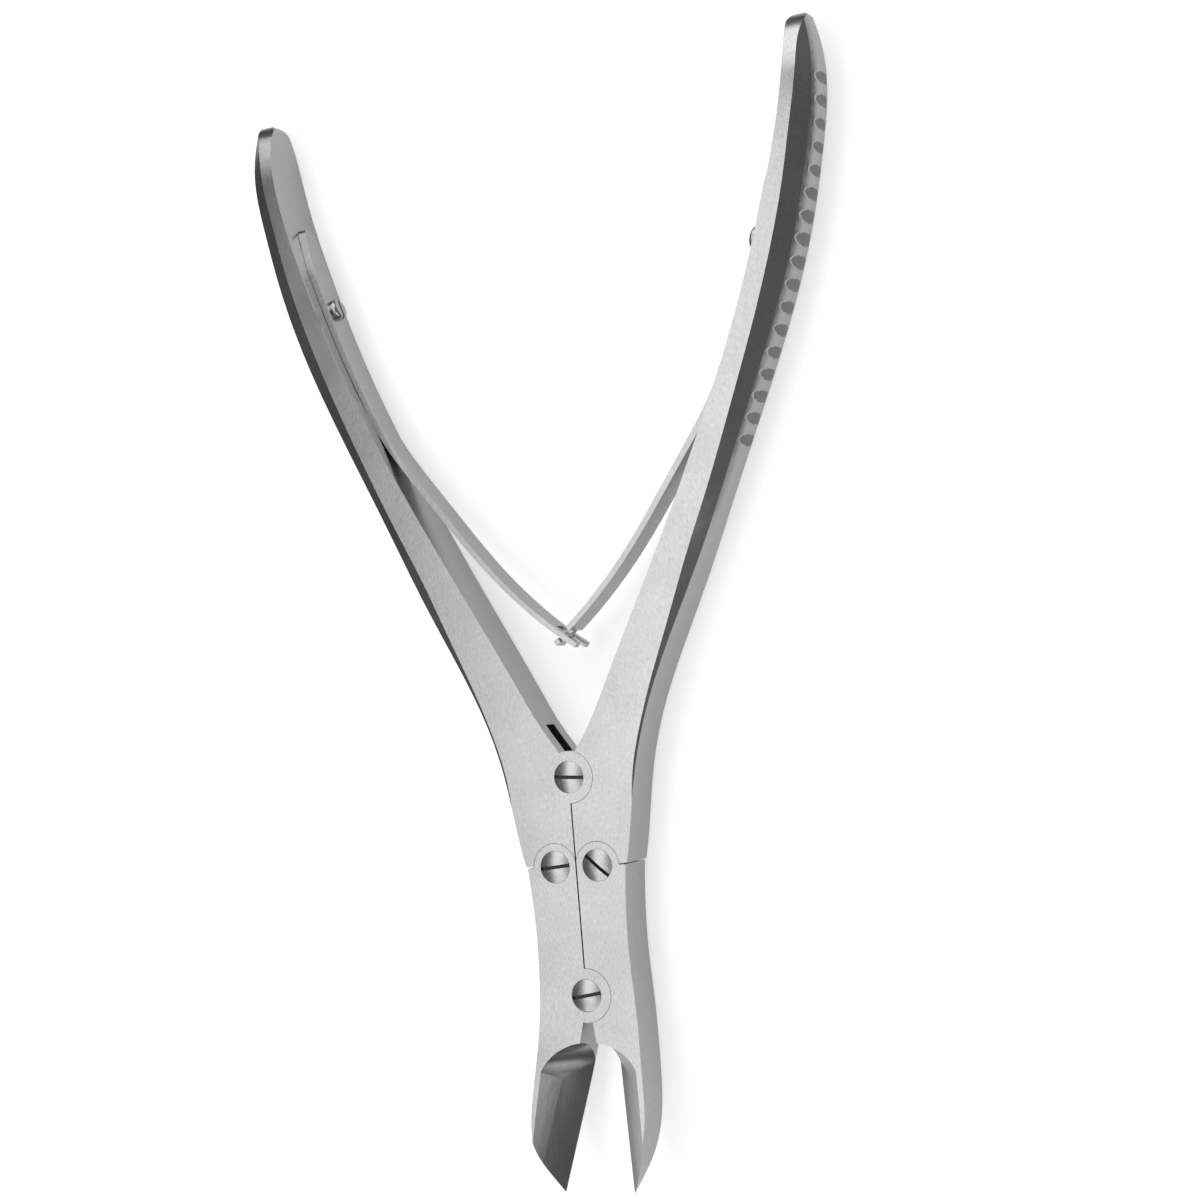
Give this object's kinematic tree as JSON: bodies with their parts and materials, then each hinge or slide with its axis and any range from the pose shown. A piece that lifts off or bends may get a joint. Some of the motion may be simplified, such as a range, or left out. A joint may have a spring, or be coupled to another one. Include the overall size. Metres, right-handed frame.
{
  "type": "bone cutting forceps",
  "caption": "Double-action bone cutting forceps with forward-curved hollow cutting jaws, box joints, crossed leaf springs and grooved handles",
  "frame": {"origin": "on the axis of the pivot between the two handles, in the plane of the flat back faces of the joint", "axes": "+Y towards the handle ends, -Y towards the cutting tips, +Z out of the front faces towards which the jaws curve, +X towards handle_right"},
  "size_m": [0.1088, 0.1903, 0.0139],
  "materials": {
    "satin_steel": "satin",
    "polished_steel": "polished",
    "spring_steel": "satin, rolled strip"
  },
  "bodies": {
    "left_handle": {"handle_left": "satin_steel", "handle_pivot_screw": "polished_steel", "left_spring_screw": "polished_steel"},
    "right_handle": {"handle_right": "satin_steel", "right_spring_screw": "polished_steel"},
    "left_jaw": {"jaw_left": "satin_steel", "jaw_pivot_screw": "polished_steel", "left_link_screw": "polished_steel"},
    "right_jaw": {"jaw_right": "satin_steel", "right_link_screw": "polished_steel"},
    "left_leaf": {"left_spring_leaf": "spring_steel"},
    "right_leaf": {"right_spring_leaf": "spring_steel"}
  },
  "joints": [
    {"name": "handle_hinge", "type": "hinge", "parent": "left_handle", "child": "right_handle", "pos_m": [0, 0, 0.004], "axis": [0, 0, 1], "range_deg": [0, 32.7], "stiffness_Nm_per_rad": 1.2, "springref_deg": -5.73},
    {"name": "left_link_hinge", "type": "hinge", "parent": "left_handle", "child": "left_jaw", "pos_m": [-0.00395, -0.015, 0.004], "axis": [0, 0, 1], "range_deg": [0, 27.4]},
    {"name": "right_link_hinge", "type": "hinge", "parent": "right_handle", "child": "right_jaw", "pos_m": [0.00395, -0.015, 0.004], "axis": [0, 0, 1], "range_deg": [-27.4, 0]},
    {"name": "left_leaf_flex", "type": "hinge", "parent": "left_handle", "child": "left_leaf", "pos_m": [-0.0313, 0.0602, 0.004], "axis": [0, 0, 1], "range_deg": [-8.4, 0], "deforming": ["left_spring_leaf"]},
    {"name": "right_leaf_flex", "type": "hinge", "parent": "right_handle", "child": "right_leaf", "pos_m": [0.0313, 0.0602, 0.004], "axis": [0, 0, 1], "range_deg": [0, 8.4], "deforming": ["right_spring_leaf"]}
  ],
  "couplings": [
    {"joint": "left_link_hinge", "follows": "handle_hinge", "ratio": 0.837},
    {"joint": "right_link_hinge", "follows": "handle_hinge", "ratio": -0.837},
    {"joint": "left_leaf_flex", "follows": "handle_hinge", "ratio": -0.256},
    {"joint": "right_leaf_flex", "follows": "handle_hinge", "ratio": 0.256}
  ]
}
